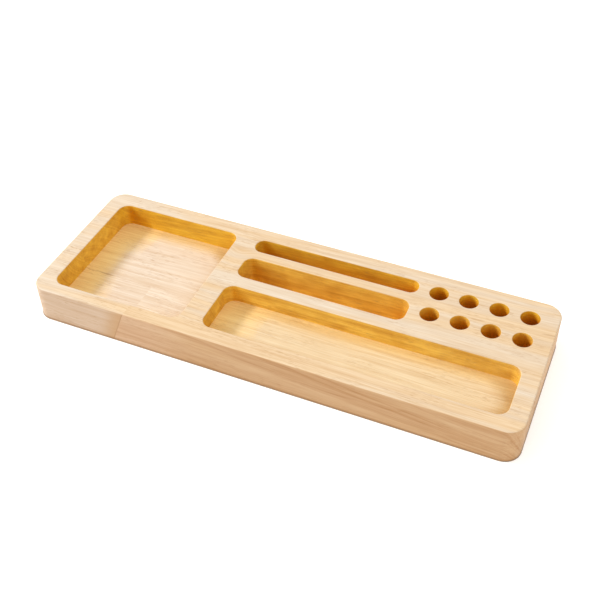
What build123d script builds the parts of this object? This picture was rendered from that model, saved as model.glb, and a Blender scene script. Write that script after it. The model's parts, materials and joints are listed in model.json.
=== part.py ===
from build123d import *
import os

# A desk organiser for pens and small things: a thick board of pale rubberwood, glued up from two
# staves side by side, with pockets and pen holes milled into its top.
# Frame: X runs along the board, Y from its front edge to its back edge, Z up.
# The origin is the centre of the underside. All lengths are in millimetres.

os.makedirs("parts", exist_ok=True)

# ---- driving dimensions -----------------------------------------------------------------
board_length = 300.0
board_width = 102.4
board_height = 23.8
board_corner_radius = 10.0
top_edge_radius = 1.0
bottom_edge_radius = 0.4
rim_radius = 0.6

# each pocket: left, right, front, back, corner radius and depth below the top
wide_bay = (-138.9, -54.0, -42.4, 40.3, 6.5, 15.0)
long_tray = (-40.2, 139.0, -41.0, -4.0, 6.5, 12.2)
wide_slot = (-40.0, 66.4, 5.0, 23.0, 6.0, 18.5)
narrow_slot = (-40.0, 66.4, 30.0, 41.2, 5.2, 18.5)
pockets = [wide_bay, long_tray, wide_slot, narrow_slot]

pen_hole_radius = 5.7
pen_hole_depth = 18.5
# a choice of this model, far below drilling tolerance: hole by hole, from left to right along the
# front row and then the back row, the floors step up by this much, so that no two share a plane
pen_hole_depth_step = 0.05
pen_hole_pitch_x = 18.1
pen_hole_pitch_y = 18.8
pen_hole_columns = 4
pen_hole_rows = 2
pen_hole_group_x = 106.2
pen_hole_group_y = 26.1

# the glue line between the front and the back stave runs the length of the board
glue_line_y = -10.2

# the front stave is two blocks, joined end to end on a plane that leans back to the left
scarf_x_at_base = -94.6
scarf_x_at_top = -85.0

first_hole_x = pen_hole_group_x - pen_hole_pitch_x * (pen_hole_columns - 1) / 2
first_hole_y = pen_hole_group_y - pen_hole_pitch_y * (pen_hole_rows - 1) / 2
half_length = board_length / 2
half_width = board_width / 2
# the solids that pick one stave out of the board stand this far past its faces
margin = 5.0


# ---- the glued-up board, milled ---------------------------------------------------------
with BuildPart() as board:
    with BuildSketch():
        RectangleRounded(board_length, board_width, board_corner_radius)
    extrude(amount=board_height)
    fillet(board.edges().group_by(Axis.Z)[-1], top_edge_radius)
    fillet(board.edges().group_by(Axis.Z)[0], bottom_edge_radius)

    for left, right, front, back, corner_radius, depth in pockets:
        with BuildSketch(Plane.XY.offset(board_height)):
            with Locations(((left + right) / 2, (front + back) / 2)):
                RectangleRounded(right - left, back - front, corner_radius)
        extrude(amount=-depth, mode=Mode.SUBTRACT)

    top_face = board.faces().sort_by(Axis.Z)[-1]
    fillet([edge for wire in top_face.inner_wires() for edge in wire.edges()], rim_radius)

    for number in range(pen_hole_rows * pen_hole_columns):
        row, column = divmod(number, pen_hole_columns)
        hole_x = first_hole_x + column * pen_hole_pitch_x
        hole_y = first_hole_y + row * pen_hole_pitch_y
        with BuildSketch(Plane.XY.offset(board_height)):
            with Locations((hole_x, hole_y)):
                Circle(pen_hole_radius)
        extrude(amount=number * pen_hole_depth_step - pen_hole_depth, mode=Mode.SUBTRACT)


def stave_region(front_y, back_y, left_x_at_base, left_x_at_top, right_x_at_base, right_x_at_top):
    """The space of one block of wood: straight sides along X, and ends that may lean."""
    with BuildPart() as region:
        with BuildSketch(Plane.XZ.offset(-back_y)):
            with BuildLine():
                Polyline(
                    (left_x_at_base, 0),
                    (right_x_at_base, 0),
                    (right_x_at_top, board_height),
                    (left_x_at_top, board_height),
                    close=True,
                )
            make_face()
        extrude(amount=back_y - front_y)
    return region.part


left_end = -half_length - margin
right_end = half_length + margin
front_side = -half_width - margin
back_side = half_width + margin

# ---- the blocks of wood -----------------------------------------------------------------
with BuildPart() as front_stave_left:
    add(board.part)
    add(
        stave_region(front_side, glue_line_y, left_end, left_end, scarf_x_at_base, scarf_x_at_top),
        mode=Mode.INTERSECT,
    )
front_stave_left.part.label = "front_stave_left"

with BuildPart() as front_stave_right:
    add(board.part)
    add(
        stave_region(front_side, glue_line_y, scarf_x_at_base, scarf_x_at_top, right_end, right_end),
        mode=Mode.INTERSECT,
    )
front_stave_right.part.label = "front_stave_right"

with BuildPart() as back_stave:
    add(board.part)
    add(
        stave_region(glue_line_y, back_side, left_end, left_end, right_end, right_end),
        mode=Mode.INTERSECT,
    )
back_stave.part.label = "back_stave"

for stave in (front_stave_left, front_stave_right, back_stave):
    export_step(stave.part, f"parts/{stave.part.label}.step")
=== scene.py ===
import json
import math

import bmesh
import bpy
from mathutils import Matrix, Vector


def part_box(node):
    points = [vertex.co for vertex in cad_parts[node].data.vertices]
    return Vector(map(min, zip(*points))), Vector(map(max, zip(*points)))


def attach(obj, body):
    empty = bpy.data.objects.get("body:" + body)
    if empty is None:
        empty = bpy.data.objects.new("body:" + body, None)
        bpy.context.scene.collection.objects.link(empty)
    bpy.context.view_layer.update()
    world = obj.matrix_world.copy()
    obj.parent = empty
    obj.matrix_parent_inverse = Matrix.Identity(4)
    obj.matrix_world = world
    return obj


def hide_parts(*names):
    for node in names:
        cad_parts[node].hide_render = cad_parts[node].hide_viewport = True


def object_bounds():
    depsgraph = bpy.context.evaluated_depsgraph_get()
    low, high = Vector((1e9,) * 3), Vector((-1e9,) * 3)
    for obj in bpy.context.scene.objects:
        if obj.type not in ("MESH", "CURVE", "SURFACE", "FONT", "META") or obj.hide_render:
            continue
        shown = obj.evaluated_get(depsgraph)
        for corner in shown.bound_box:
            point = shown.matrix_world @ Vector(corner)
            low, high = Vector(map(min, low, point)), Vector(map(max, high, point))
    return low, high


# A desk organiser milled from a glued-up board of pale rubberwood. The CAD gives the blocks of
# wood. This script gives them their finish, and stands them on a pale floor in soft light.
# Lengths are in metres, except inside the materials, where the pattern of the wood is in
# millimetres.

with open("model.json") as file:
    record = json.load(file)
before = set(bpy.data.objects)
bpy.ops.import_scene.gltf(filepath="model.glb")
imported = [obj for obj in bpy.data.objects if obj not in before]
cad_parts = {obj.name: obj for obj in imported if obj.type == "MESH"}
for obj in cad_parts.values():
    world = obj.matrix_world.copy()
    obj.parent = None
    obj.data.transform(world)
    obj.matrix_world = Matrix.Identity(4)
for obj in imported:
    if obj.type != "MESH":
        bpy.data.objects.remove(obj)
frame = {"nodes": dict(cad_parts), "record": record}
cad_box = [list(corner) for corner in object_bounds()]

low, high = Vector(cad_box[0]), Vector(cad_box[1])
centre = (low + high) / 2
MM = 0.001

# ---- places in the wood, in millimetres, from the frame ----------------------------------
top_z = high.z / MM
end_x = high.x / MM
side_y = high.y / MM
glue_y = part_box("back_stave")[0].y / MM
joint_x_at_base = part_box("front_stave_right")[0].x / MM
joint_x_at_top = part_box("front_stave_left")[1].x / MM


# ---- camera ------------------------------------------------------------------------------
CAMERA_AZIMUTH = math.radians(24.29)
CAMERA_ELEVATION = math.radians(43.23)
CAMERA_ROLL = -0.02371
CAMERA_DISTANCE = 0.5677
CAMERA_ASIDE = 0.00465
CAMERA_ABOVE = 0.006685
CAMERA_LENS = 57.03
SENSOR = 36.0


def add_camera():
    """The camera looks at the board from in front and to the right, from well above it."""
    a, e = CAMERA_AZIMUTH, CAMERA_ELEVATION
    back = Vector((math.sin(a) * math.cos(e), -math.cos(a) * math.cos(e), math.sin(e)))
    level = Vector((math.cos(a), math.sin(a), 0))
    rise = back.cross(level)
    right = math.cos(CAMERA_ROLL) * level + math.sin(CAMERA_ROLL) * rise
    up = math.cos(CAMERA_ROLL) * rise - math.sin(CAMERA_ROLL) * level
    data = bpy.data.cameras.new("camera")
    data.lens = CAMERA_LENS
    data.sensor_width = SENSOR
    data.clip_start = 0.01
    data.clip_end = 20
    camera = bpy.data.objects.new("camera", data)
    bpy.context.scene.collection.objects.link(camera)
    place = centre + CAMERA_DISTANCE * back + CAMERA_ASIDE * level + CAMERA_ABOVE * rise
    turn = Matrix((right, up, back)).transposed().to_4x4()
    camera.matrix_world = Matrix.Translation(place) @ turn
    bpy.context.scene.camera = camera


# ---- light and floor ---------------------------------------------------------------------
# each light: direction that it comes from, distance, size, power and colour
LIGHTS = {
    "key_light": ((-0.825, -0.087, 0.559), 2.4, 0.42, 44.0, (1.0, 0.99, 0.97)),
    "fill_light": ((0.75, -0.3, 1.0), 1.6, 1.1, 6.0, (1.0, 0.99, 0.97)),
}
SKY_COLOUR = (1.0, 0.985, 0.955, 1)
SKY_STRENGTH = 0.83

# The floor: its size, how far it reaches under the board, how far it lies below it, its glow, and
# the painted contact shadow, a dark line where the board stands.
FLOOR_RADIUS = 4.0
FLOOR_SIDES = 96
FLOOR_UNDER_BOARD = 0.004
FLOOR_GAP = 0.00002
FLOOR_COLOUR = (0.90, 0.90, 0.90, 1)
FLOOR_GLOW = 0.25
CONTACT_SHADOW_COLOUR = (0.38, 0.29, 0.21, 1)
CONTACT_SHADOW_REACH = 0.0011
CONTACT_SHADOW_TONE = (0.85, 0.60)


def add_lights():
    """A soft key from the left, a weak fill from the right, and a pale, slightly warm
    sky all round."""
    for name, (direction, distance, size, power, colour) in LIGHTS.items():
        data = bpy.data.lights.new(name, "AREA")
        data.shape = "DISK"
        data.size = size
        data.energy = power
        data.color = colour
        light = bpy.data.objects.new(name, data)
        bpy.context.scene.collection.objects.link(light)
        aim = Vector(direction).normalized()
        light.location = centre + distance * aim
        light.rotation_euler = aim.to_track_quat("Z", "Y").to_euler()

    world = bpy.data.worlds.new("room")
    bpy.context.scene.world = world
    world.use_nodes = True
    sky = world.node_tree.nodes["Background"]
    sky.inputs["Color"].default_value = SKY_COLOUR
    sky.inputs["Strength"].default_value = SKY_STRENGTH
    bpy.context.scene.view_settings.view_transform = "Standard"


def add_floor():
    """A plain pale disc under the board, with a painted shadow: a thin dark line where the board
    stands on it. It is open under the board, out of sight from above, so that the underside
    shows from below."""
    half_x, half_y = high.x - FLOOR_UNDER_BOARD, high.y - FLOOR_UNDER_BOARD
    outer, inner = [], []
    for i in range(FLOOR_SIDES):
        turn = 2 * math.pi * (i + 0.5) / FLOOR_SIDES
        x, y = math.cos(turn), math.sin(turn)
        reach = min(half_x / abs(x), half_y / abs(y))
        outer.append((FLOOR_RADIUS * x, FLOOR_RADIUS * y, low.z - FLOOR_GAP))
        inner.append((reach * x, reach * y, low.z - FLOOR_GAP))
    around = [(i, (i + 1) % FLOOR_SIDES) for i in range(FLOOR_SIDES)]
    faces = [(FLOOR_SIDES + i, i, j, FLOOR_SIDES + j) for i, j in around]
    mesh = bpy.data.meshes.new("floor")
    mesh.from_pydata(outer + inner, [], faces)
    floor = bpy.data.objects.new("floor", mesh)
    bpy.context.scene.collection.objects.link(floor)
    s = Shader("floor")
    gap = s.node("ShaderNodeAmbientOcclusion", {"Distance": CONTACT_SHADOW_REACH}, samples=16)
    # painted shadow: the floor turns dark where the board stands on it
    in_contact_shadow = s.step(gap.outputs["AO"], *CONTACT_SHADOW_TONE)
    paint = s.node("ShaderNodeBsdfPrincipled", {"Roughness": 0.9, "Specular IOR Level": 0.1})
    s.feed(paint.inputs["Base Color"], s.blend(in_contact_shadow, FLOOR_COLOUR, CONTACT_SHADOW_COLOUR))
    paint.inputs["Emission Color"].default_value = (1, 1, 1, 1)
    s.feed(paint.inputs["Emission Strength"], s.times(s.less(1.0, in_contact_shadow), FLOOR_GLOW))
    output = s.node("ShaderNodeOutputMaterial")
    s.feed(output.inputs["Surface"], paint.outputs["BSDF"])
    mesh.materials.append(s.material)


# ---- shader tools ------------------------------------------------------------------------
class Shader:
    """One material's node tree, with short calls for the nodes that it is made of."""

    def __init__(self, name):
        self.material = bpy.data.materials.new(name)
        self.material.use_nodes = True
        self.tree = self.material.node_tree
        self.tree.nodes.clear()

    def feed(self, socket, value):
        if isinstance(value, bpy.types.NodeSocket):
            self.tree.links.new(value, socket)
        else:
            socket.default_value = value

    def node(self, kind, inputs=None, **settings):
        made = self.tree.nodes.new(kind)
        for name, value in settings.items():
            setattr(made, name, value)
        for name, value in (inputs or {}).items():
            self.feed(made.inputs[name], value)
        return made

    def math(self, operation, *values, clamp=False):
        made = self.node("ShaderNodeMath", operation=operation, use_clamp=clamp)
        for socket, value in zip(made.inputs, values):
            self.feed(socket, value)
        return made.outputs[0]

    def add(self, first, second):
        return self.math("ADD", first, second)

    def times(self, first, second):
        return self.math("MULTIPLY", first, second)

    def step(self, value, start, end):
        """0 before start, 1 after end, and smooth between. start may be above end."""
        flip = start > end
        made = self.node("ShaderNodeMapRange", interpolation_type="SMOOTHSTEP")
        ends = {"From Min": min(start, end), "From Max": max(start, end)}
        for name, number in {**ends, "To Min": float(flip), "To Max": float(not flip)}.items():
            made.inputs[name].default_value = number
        self.feed(made.inputs["Value"], value)
        return made.outputs["Result"]

    def less(self, first, second):
        return self.math("SUBTRACT", first, second)

    def size_of(self, value):
        return self.math("ABSOLUTE", value)

    def swing(self, noise, strength):
        """Noise round 0.5 turned into a number round 0, of that strength."""
        return self.times(self.less(noise, 0.5), strength)

    def all_of(self, *masks):
        product = masks[0]
        for mask in masks[1:]:
            product = self.times(product, mask)
        return product

    def joined(self, x, y, z):
        made = self.node("ShaderNodeCombineXYZ", {"X": x, "Y": y, "Z": z})
        return made.outputs["Vector"]

    def stretched(self, vector, size, seed=0.0):
        """The vector counted in grains of that size along X, Y and Z, in millimetres."""
        scale = self.node("ShaderNodeVectorMath", operation="MULTIPLY")
        self.feed(scale.inputs[0], vector)
        scale.inputs[1].default_value = [1 / s for s in size]
        shift = self.node("ShaderNodeVectorMath", operation="ADD")
        self.tree.links.new(scale.outputs[0], shift.inputs[0])
        shift.inputs[1].default_value = (seed, 1.7 * seed, 2.3 * seed)
        return shift.outputs[0]

    def noise(self, vector, size, seed=0.0, detail=2.0, roughness=0.5):
        """Cloudy values round 0.5, in grains of that size in millimetres."""
        inputs = {"Scale": 1.0, "Detail": detail, "Roughness": roughness}
        made = self.node("ShaderNodeTexNoise", inputs)
        self.tree.links.new(self.stretched(vector, size, seed), made.inputs["Vector"])
        return made.outputs["Fac"]

    def noise_along(self, value, size, seed=0.0, detail=2.0):
        """Noise of one number, such as the distance from the heart of the tree."""
        inputs = {"W": self.add(self.times(value, 1 / size), seed), "Scale": 1.0}
        made = self.node("ShaderNodeTexNoise", {**inputs, "Detail": detail}, noise_dimensions="1D")
        return made.outputs["Fac"]

    def blend(self, factor, first, second, mode="MIX"):
        made = self.node("ShaderNodeMix", data_type="RGBA", blend_type=mode)
        self.feed(made.inputs[0], factor)
        self.feed(made.inputs[6], first)
        self.feed(made.inputs[7], second)
        return made.outputs[2]


# ---- wood --------------------------------------------------------------------------------
# Colours, linear. The open top is pale. Several colours below are painted light and shade:
# whatever the light reaches less is painted more golden.
TOP_PALE = (0.650, 0.530, 0.400, 1)
TOP_WARM = (0.655, 0.475, 0.290, 1)
BAY_FLOOR = (0.675, 0.55, 0.43, 1)
TRAY_FLOOR = (0.675, 0.52, 0.32, 1)
# painted shadow: the colour of pocket floors where a wall shades them from the light
FLOOR_SHADE_GOLD = (0.86, 0.585, 0.21, 1)
# painted shade: the colour of pocket floors beside the back walls
FLOOR_SHADE_TAN = (0.54, 0.355, 0.15, 1)
# the walls' own gold, deepened as painted shade
WALL_GOLD = (0.71, 0.385, 0.040, 1)
# painted shade: the colour of walls shaded from the light
WALL_SHADE_AMBER = (0.66, 0.27, 0.003, 1)
# painted light: the brighter gold of the back walls of the slots
SLOT_LIGHT_GOLD = (0.95, 0.60, 0.100, 1)
# painted light: the colour of walls open to the light
WALL_LIGHT_PALE = (0.75, 0.53, 0.225, 1)
# painted shade: the colour deep down in the pen holes
HOLE_SHADE_BROWN = (0.62, 0.22, 0.001, 1)
REAR_TINT = (0.96, 0.92, 0.50, 1)
PORE_BROWN = (0.36, 0.18, 0.06, 1)
# the real glue, joint and growth lines, and also the painted shade along the lower edge
LINE_AND_SHADE_BROWN = (0.36, 0.18, 0.07, 1)
BAND_BROWN = (0.48, 0.275, 0.12, 1)
PALE_SIDE = (0.54, 0.335, 0.195, 1)

# Two measures of how open a point is: to all sides, and towards the left and upwards. They place
# the painted shade and painted light in the pockets.
# Each looks this far, in metres, for what shuts the point in.
OPEN_REACH = 0.018
LEFT_REACH = 0.030
OPEN_LEFT = (-0.75, 0.15, 0.65)

# Where each tone of a pocket begins, and where it is full; these tones are painted shade and
# painted light. The first five go by how open a point is to the left and upwards, and the last
# two by how open it is to all sides.
SHADED_FLOOR = (0.70, 0.48)
OUT_OF_SHADE = (0.38, 0.46)
SLOT_LIGHT_TONE = (0.45, 0.41)
SHADE_AMBER_TONE = (0.38, 0.22)
LIGHT_PALE_TONE = (0.50, 0.72)
NEAR_A_WALL = (0.80, 0.62)
HOLE_SHADE_TONE = (0.36, 0.14)

# Each block of wood. heart: where the heart of the tree would be, as Y and Z in millimetres at
# X = 0. drift: how far the heart moves in Y and Z for each millimetre along X. side: the tone of
# its outer sides. lines: how strongly fine growth lines show on those sides. streaks: warm or
# pale streaks of the top, as Y, half their width, and warmth. rings: growth lines that stand out
# on the sides, as distance from the heart and strength.
BLOCKS = {
    "front_stave_left": {
        "heart": (8.0, 36.0),
        "drift": (0.01, 0.01),
        "side": (0.545, 0.39, 0.27, 1),
        "lines": 0.1,
        "streaks": [(-46.0, 8.0, 0.1)],
        "rings": [],
        "seed": 3.1,
    },
    "front_stave_right": {
        "heart": (29.0, 42.0),
        "drift": (-0.04, 0.0),
        "side": (0.50, 0.295, 0.142, 1),
        "lines": 1.0,
        "streaks": [(-46.0, 8.0, 0.45)],
        "rings": [(77.0, 1.0), (80.9, 0.55), (82.2, 0.7), (83.4, 0.45), (84.5, 0.4)],
        "seed": 11.7,
    },
    "back_stave": {
        "heart": (-30.0, -46.0),
        "drift": (0.07, -0.02),
        "side": (0.60, 0.37, 0.19, 1),
        "lines": 0.7,
        "streaks": [(0.0, 6.0, -0.45), (26.5, 7.0, 0.35)],
        "rings": [],
        "seed": 23.4,
    },
}

# The cloudy tone of the top runs on from block to block, as the joints don't show there.
TONE_SEED = 26.4

# The top is paler towards its left end, between these two places along X.
PALE_END_X, PALE_END = (-70.0, -140.0), 0.50

# The tone of the sides swings from pale to brown and back over this distance from the heart.
SWING_PERIOD, SWING_PALE_AT = 7.6, 86.0

# The floor of the bay is paler than the other pocket floors. The bay ends between these places.
BAY_ENDS_AT = (-54.0, -44.0)

# The walls towards the back of the board are a deeper yellow, from between these places along Y.
REAR_FROM_Y = (28.0, 36.0)

# The front side is paler to the left, between these places along X.
PALE_SIDE_X = (-30.0, -82.0)

# The painted shade on the lower edge of the sides, a dark line where they meet the floor: where
# it begins and is full along Z, and strength.
EDGE_SHADE_Z, EDGE_SHADE = (2.2, 0.8), 0.60

# A swirl of the grain on the land between the bay and the slots.
SWIRL_X, SWIRL_Y, SWIRL_REACH, SWIRL_PUSH = -46.0, 20.5, 7.0, 4.0

# One growth line that shows on the top between the rows of pen holes, and slants across it.
GROWTH_LINE_X, GROWTH_LINE_Y, GROWTH_LINE_SLOPE = 106.5, 22.6, 0.08

# How far the wood is darker beside the leaning joint in the front stave, along X.
JOINT_BAND = 14.0

# The glue line shows clearly only to the left of this place along X.
GLUE_SHOWN_TO_X = -118.0


def place_in_wood(s):
    """The point being coloured, in millimetres in the frame, whole and as X, Y and Z."""
    scaled = s.node("ShaderNodeVectorMath", operation="SCALE")
    s.feed(scaled.inputs[0], s.node("ShaderNodeTexCoord").outputs["Object"])
    scaled.inputs["Scale"].default_value = 1 / MM
    split = s.node("ShaderNodeSeparateXYZ", {"Vector": scaled.outputs[0]})
    return scaled.outputs[0], [split.outputs[axis] for axis in "XYZ"]


def bent_fibres(s, spot, x, y, z, seed, swirl):
    """The fibres run along X, but they aren't quite straight, and they go round a swirl."""
    fibre_y = s.add(y, s.swing(s.noise(spot, (70, 45, 45), seed), 3.0))
    fibre_z = s.add(z, s.swing(s.noise(spot, (70, 45, 45), seed + 5), 3.0))
    if swirl:
        away_x = s.times(s.add(x, -SWIRL_X), 1 / SWIRL_REACH)
        away_y = s.times(s.add(y, -SWIRL_Y), 1 / SWIRL_REACH)
        away = s.math("SQRT", s.add(s.times(away_x, away_x), s.times(away_y, away_y)))
        fibre_y = s.add(fibre_y, s.times(s.step(away, 1.9, 0.0), SWIRL_PUSH))
    return fibre_y, fibre_z


def distance_from_heart(s, x, fibre_y, fibre_z, heart, drift):
    across = s.add(s.add(fibre_y, s.times(x, -drift[0])), -heart[0])
    upwards = s.add(s.add(fibre_z, s.times(x, -drift[1])), -heart[1])
    return s.math("SQRT", s.add(s.times(across, across), s.times(upwards, upwards)))


def surfaces(s, x, y, z):
    """Which surface a point is on: masks of pocket floors, pocket walls, faces turned to the
    right, and outer sides."""
    facing = s.node("ShaderNodeNewGeometry").outputs["Normal"]
    normal = s.node("ShaderNodeSeparateXYZ", {"Vector": facing})
    upright = s.step(s.size_of(normal.outputs["Z"]), 0.85, 0.35)
    facing_up = s.step(normal.outputs["Z"], 0.5, 0.9)
    facing_right = s.step(normal.outputs["X"], 0.3, 0.9)
    inside_x = s.step(s.size_of(x), end_x - 3, end_x - 6)
    inside_y = s.step(s.size_of(y), side_y - 3, side_y - 6)
    inside = s.all_of(inside_x, inside_y)
    below_top = s.step(z, top_z - 2.0, top_z - 5.0)
    floor = s.all_of(facing_up, below_top, inside)
    wall, side = s.all_of(upright, inside), s.all_of(upright, s.less(1.0, inside))
    return floor, wall, facing_right, side


def openings(s):
    """How open the point is to all sides, and how open towards the left and upwards."""
    around = s.node("ShaderNodeAmbientOcclusion", {"Distance": OPEN_REACH}, samples=8)
    left = s.node("ShaderNodeAmbientOcclusion", {"Distance": LEFT_REACH}, samples=12)
    s.feed(left.inputs["Normal"], s.joined(*Vector(OPEN_LEFT).normalized()))
    return around.outputs["AO"], left.outputs["AO"]


def thin_line(s, distance, width, softness):
    """1 within half the width of a line, and 0 beyond that and the softness."""
    return s.step(s.size_of(distance), width / 2 + softness, width / 2)


def growth_lines(s, radius, seed, spacing, width):
    """Thin dark lines round the heart, unevenly spaced."""
    level = s.noise_along(radius, spacing, seed, 1.0)
    return s.step(s.size_of(s.less(level, 0.5)), width, 0.0)


def warmth_of_top(s, x, y, tone, ring, streaks):
    """How warm the tone of the top is: cloudy, streaked, and paler towards the left end."""
    warmth = s.step(s.add(s.times(tone, 0.6), s.times(ring, 0.4)), 0.34, 0.66)
    for middle, half_width, amount in streaks:
        near = s.step(s.size_of(s.add(y, -middle)), half_width, 0.0)
        warmth = s.add(warmth, s.times(near, amount))
    warmth = s.less(warmth, s.times(s.step(x, *PALE_END_X), PALE_END))
    return s.math("ADD", warmth, 0.0, clamp=True)


def pocket_colours(s, colour, x, y, floor, wall, facing_right):
    """Painted shade and light. Floors are painted golden in the shade of a wall, and tan beside
    the back walls. Walls are golden; they are painted amber where shaded, brighter in the slots,
    brown down in the holes as shade, and paler where they are open to the light."""
    around, left = openings(s)
    floor_tone = s.blend(s.step(x, *BAY_ENDS_AT), BAY_FLOOR, TRAY_FLOOR)
    colour = s.blend(s.times(floor, 0.85), colour, floor_tone)
    # painted shadow: floors turn golden where a wall shades them from the light
    colour = s.blend(s.all_of(floor, s.step(left, *SHADED_FLOOR), 0.92), colour, FLOOR_SHADE_GOLD)
    # painted shade: floors turn tan beside a wall, outside the shade of the left walls
    near_a_wall = s.step(around, *NEAR_A_WALL)
    shade_by_back_wall = s.all_of(floor, near_a_wall, s.step(left, *OUT_OF_SHADE))
    colour = s.blend(shade_by_back_wall, colour, FLOOR_SHADE_TAN)
    elsewhere = s.less(1.0, facing_right)
    # painted light: the back walls of the slots are painted a brighter gold
    golden = s.blend(s.all_of(s.step(left, *SLOT_LIGHT_TONE), elsewhere), WALL_GOLD, SLOT_LIGHT_GOLD)
    # painted shade: walls shaded from the light turn amber
    golden = s.blend(s.all_of(s.step(left, *SHADE_AMBER_TONE), elsewhere), golden, WALL_SHADE_AMBER)
    # painted shade: walls deep down in the holes turn brown
    golden = s.blend(s.step(around, *HOLE_SHADE_TONE), golden, HOLE_SHADE_BROWN)
    # painted light: walls open to the light are painted paler
    golden = s.blend(s.step(left, *LIGHT_PALE_TONE), golden, WALL_LIGHT_PALE)
    golden = s.blend(s.step(y, *REAR_FROM_Y), golden, REAR_TINT, "MULTIPLY")
    return s.blend(wall, colour, golden)


def standing_out(s, spot, radius, rings):
    """The growth lines that stand out, as one mask."""
    wavering = s.add(radius, s.swing(s.noise(spot, (45, 20, 20), 5.5), 0.8))
    total = 0.0
    for distance, strength in rings:
        line = thin_line(s, s.add(wavering, -distance), 0.35, 0.45)
        total = s.add(total, s.times(line, strength))
    return total


def joint_band(s, colour, spot, x, z, outer_side):
    """The wood of the short block darkens up to its leaning joint, and ends in a dark line."""
    lean = (joint_x_at_top - joint_x_at_base) / top_z
    to_joint = s.less(s.add(joint_x_at_base, s.times(z, lean)), x)
    ragged = s.add(to_joint, s.swing(s.noise(spot, (30, 5, 5), 4.4), 4.0))
    band = s.times(s.step(ragged, JOINT_BAND, 0.0), outer_side)
    colour = s.blend(s.times(band, 0.75), colour, BAND_BROWN)
    edge = s.all_of(s.step(to_joint, 1.0, 0.2), outer_side)
    return s.blend(s.times(edge, 0.5), colour, LINE_AND_SHADE_BROWN)


def glue_line(s, colour, spot, x, y, wall):
    """A flecked dark line where the two staves meet, clear only on the floor of the bay towards
    its left end."""
    ragged = s.add(s.add(y, -glue_y), s.swing(s.noise(spot, (5, 2, 2), 8.8), 1.6))
    shown = s.add(s.times(s.step(x, GLUE_SHOWN_TO_X + 8, GLUE_SHOWN_TO_X - 6), 0.5), 0.04)
    flecks = s.step(s.noise(spot, (5, 1.5, 1.5), 6.1), 0.42, 0.58)
    line = s.all_of(thin_line(s, ragged, 0.4, 0.9), shown, flecks, s.less(1.0, wall))
    return s.blend(line, colour, LINE_AND_SHADE_BROWN)


def slanting_line(s, colour, spot, x, y, facing_up):
    """The growth line between the rows of pen holes: broken, and faint towards its left end."""
    middle = s.add(s.times(s.add(x, -GROWTH_LINE_X), GROWTH_LINE_SLOPE), GROWTH_LINE_Y)
    shown = s.all_of(s.step(x, 84, 110), s.step(s.noise(spot, (14, 4, 4), 2.7), 0.38, 0.55))
    line = s.all_of(thin_line(s, s.less(y, middle), 0.4, 0.7), shown, facing_up)
    return s.blend(s.times(line, 0.4), colour, LINE_AND_SHADE_BROWN)


ROUGHNESS = (0.48, 0.64)
GLOSS = 0.22
RELIEF, RELIEF_DEPTH = 0.18, 0.0002


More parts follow.
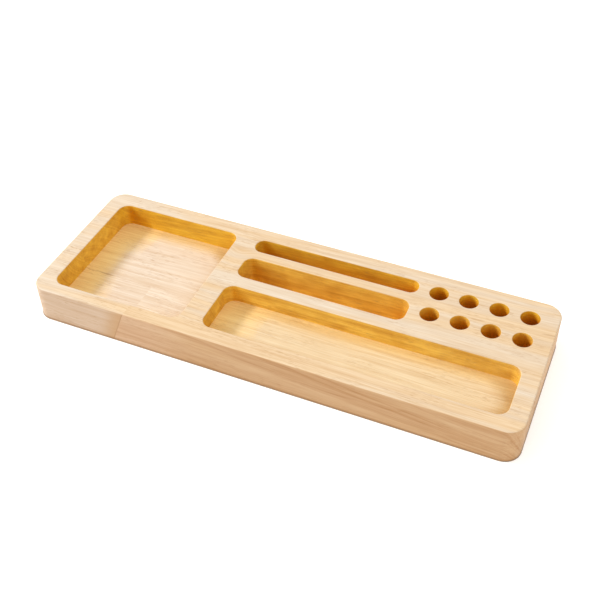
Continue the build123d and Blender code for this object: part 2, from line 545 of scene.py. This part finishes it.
def wood(name, heart, drift, side, lines, streaks, rings, seed):
    """Solid wood in three dimensions, so that the ends and the walls show their own figure."""
    s = Shader(name + "_wood")
    spot, (x, y, z) = place_in_wood(s)
    fibre_y, fibre_z = bent_fibres(s, spot, x, y, z, seed, name == "back_stave")
    fibre = s.joined(x, fibre_y, fibre_z)
    radius = distance_from_heart(s, x, fibre_y, fibre_z, heart, drift)

    broad_ring = s.noise_along(radius, 4.5, seed, 2.0)
    fine_ring = s.noise_along(radius, 0.9, seed + 2, 1.0)
    fine_fibre = s.noise(fibre, (24, 0.5, 0.5), seed, 2.0, 0.6)
    coarse_fibre = s.noise(fibre, (60, 2.2, 2.2), seed + 1, 2.0)
    tone = s.noise(spot, (110, 14, 14), TONE_SEED, 1.0)
    mottle = s.noise(spot, (16, 6, 6), seed + 6, 2.0)
    pore_seen = s.step(s.noise(fibre, (4.5, 0.32, 0.32), seed + 7, 0.0), 0.64, 0.72)
    pore_patch = s.step(s.noise(spot, (34, 8, 8), seed + 9, 1.0), 0.42, 0.60)
    pores = s.all_of(pore_seen, pore_patch)
    pocket_floor, pocket_wall, facing_right, outer_side = surfaces(s, x, y, z)

    # the tone of each surface
    warmth = warmth_of_top(s, x, y, tone, broad_ring, streaks)
    colour = s.blend(warmth, TOP_PALE, TOP_WARM)
    colour = pocket_colours(s, colour, x, y, pocket_floor, pocket_wall, facing_right)
    if name == "front_stave_right":
        side = s.blend(s.step(x, *PALE_SIDE_X), side, PALE_SIDE)
    colour = s.blend(s.times(outer_side, 0.92), colour, side)

    # the grain: streaks, rings, mottling and growth lines, with the most play in the blue
    streaky = s.add(s.swing(fine_fibre, 0.52), s.swing(coarse_fibre, 0.38))
    ringed = s.add(s.swing(broad_ring, 0.18), s.swing(fine_ring, 0.18))
    ringed = s.times(ringed, s.add(s.times(pocket_wall, 1.4), 1.0))
    mottled = s.times(s.swing(mottle, 0.60), s.add(s.times(pocket_wall, 1.5), 0.15))
    turn = s.times(s.add(radius, -SWING_PALE_AT), 2 * math.pi / SWING_PERIOD)
    swung = s.all_of(s.math("COSINE", turn), outer_side, 0.03 * lines)
    marks = growth_lines(s, radius, seed + 4, 3.2, 0.05)
    marks = s.times(marks, s.add(s.times(outer_side, 0.08 * lines), 0.03))
    grain = s.add(s.add(1.0, s.add(streaky, ringed)), s.add(mottled, s.less(swung, marks)))
    if rings:
        straight = distance_from_heart(s, x, y, z, heart, drift)
        dark_rings = s.times(standing_out(s, spot, straight, rings), outer_side)
        grain = s.less(grain, s.times(dark_rings, 0.20))
    grey = s.node("ShaderNodeCombineColor")
    for channel, play in zip(("Red", "Green", "Blue"), (0.6, 1.0, 1.5)):
        s.feed(grey.inputs[channel], s.math("POWER", grain, play))
    colour = s.blend(1.0, colour, grey.outputs[0], "MULTIPLY")
    colour = s.blend(s.times(pores, 0.4), colour, PORE_BROWN)
    colour = glue_line(s, colour, spot, x, y, pocket_wall)
    if name == "front_stave_left":
        colour = joint_band(s, colour, spot, x, z, outer_side)
    if name == "back_stave":
        on_top = s.step(z, top_z - 0.3, top_z - 0.1)
        colour = slanting_line(s, colour, spot, x, y, on_top)
    # painted shade: a dark line along the lower edge of the sides, where the board meets the floor
    lower_edge_shade = s.all_of(s.step(z, *EDGE_SHADE_Z), outer_side, EDGE_SHADE)
    colour = s.blend(lower_edge_shade, colour, LINE_AND_SHADE_BROWN)

    # roughness and relief
    rough = s.node("ShaderNodeMapRange", dict(zip(("To Min", "To Max"), ROUGHNESS)))
    s.feed(rough.inputs["Value"], fine_fibre)
    relief = s.less(s.times(fine_fibre, 0.5), s.times(pores, 0.6))
    bumps = {"Strength": RELIEF, "Distance": RELIEF_DEPTH, "Height": relief}
    bump = s.node("ShaderNodeBump", bumps)

    finish = s.node("ShaderNodeBsdfPrincipled")
    s.feed(finish.inputs["Base Color"], colour)
    s.feed(finish.inputs["Roughness"], rough.outputs["Result"])
    s.feed(finish.inputs["Normal"], bump.outputs["Normal"])
    finish.inputs["Specular IOR Level"].default_value = GLOSS
    output = s.node("ShaderNodeOutputMaterial")
    s.feed(output.inputs["Surface"], finish.outputs["BSDF"])
    return s.material


# ---- the drilled block, with softened rims -----------------------------------------------
RIM_RADIUS = 0.0004
RIM_STEPS = 4
WELD = 1e-6
ON_RIM = 2e-5
FLAT = math.radians(0.2)
SHARP = math.radians(30)


def is_rim(edge, holes):
    """True for an edge on the top face that follows the mouth of a pen hole."""
    for hole in holes:
        middle = Vector(hole["pos_m"]).xy
        radius = hole["dims"]["r_mm"] * MM
        level = all(abs(v.co.z - high.z) < WELD for v in edge.verts)
        round_it = all(abs((v.co.xy - middle).length - radius) < ON_RIM for v in edge.verts)
        if level and round_it:
            return True
    return False


def softened(node):
    """A copy of a block of wood in which the rims of its pen holes are sanded round."""
    holes = [mount for mount in frame["record"]["mounts"] if mount["kind"] == "bore"]
    shape = bmesh.new()
    shape.from_mesh(frame["nodes"][node].data)
    bmesh.ops.remove_doubles(shape, verts=shape.verts, dist=WELD)
    bmesh.ops.dissolve_limit(shape, angle_limit=FLAT, verts=shape.verts, edges=shape.edges)
    rims = [edge for edge in shape.edges if is_rim(edge, holes)]
    bmesh.ops.bevel(
        shape,
        geom=rims,
        offset=RIM_RADIUS,
        offset_type="OFFSET",
        segments=RIM_STEPS,
        profile=0.5,
        affect="EDGES",
        clamp_overlap=False,
    )
    bmesh.ops.triangulate(shape, faces=shape.faces)
    for face in shape.faces:
        face.smooth = True
    for edge in shape.edges:
        edge.smooth = edge.calc_face_angle(0) < SHARP
    mesh = bpy.data.meshes.new(node + "_softened")
    shape.to_mesh(mesh)
    shape.free()
    piece = bpy.data.objects.new(node + "_softened", mesh)
    bpy.context.scene.collection.objects.link(piece)
    flatten = piece.modifiers.new("flat_faces_stay_flat", "WEIGHTED_NORMAL")
    flatten.keep_sharp = True
    flatten.weight = 100
    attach(piece, "root")
    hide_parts(node)
    return piece


def finish_blocks():
    for name, look in BLOCKS.items():
        piece = softened(name) if name == "back_stave" else frame["nodes"][name]
        piece.data.materials.clear()
        piece.data.materials.append(wood(name, **look))


add_camera()
add_lights()
add_floor()
finish_blocks()
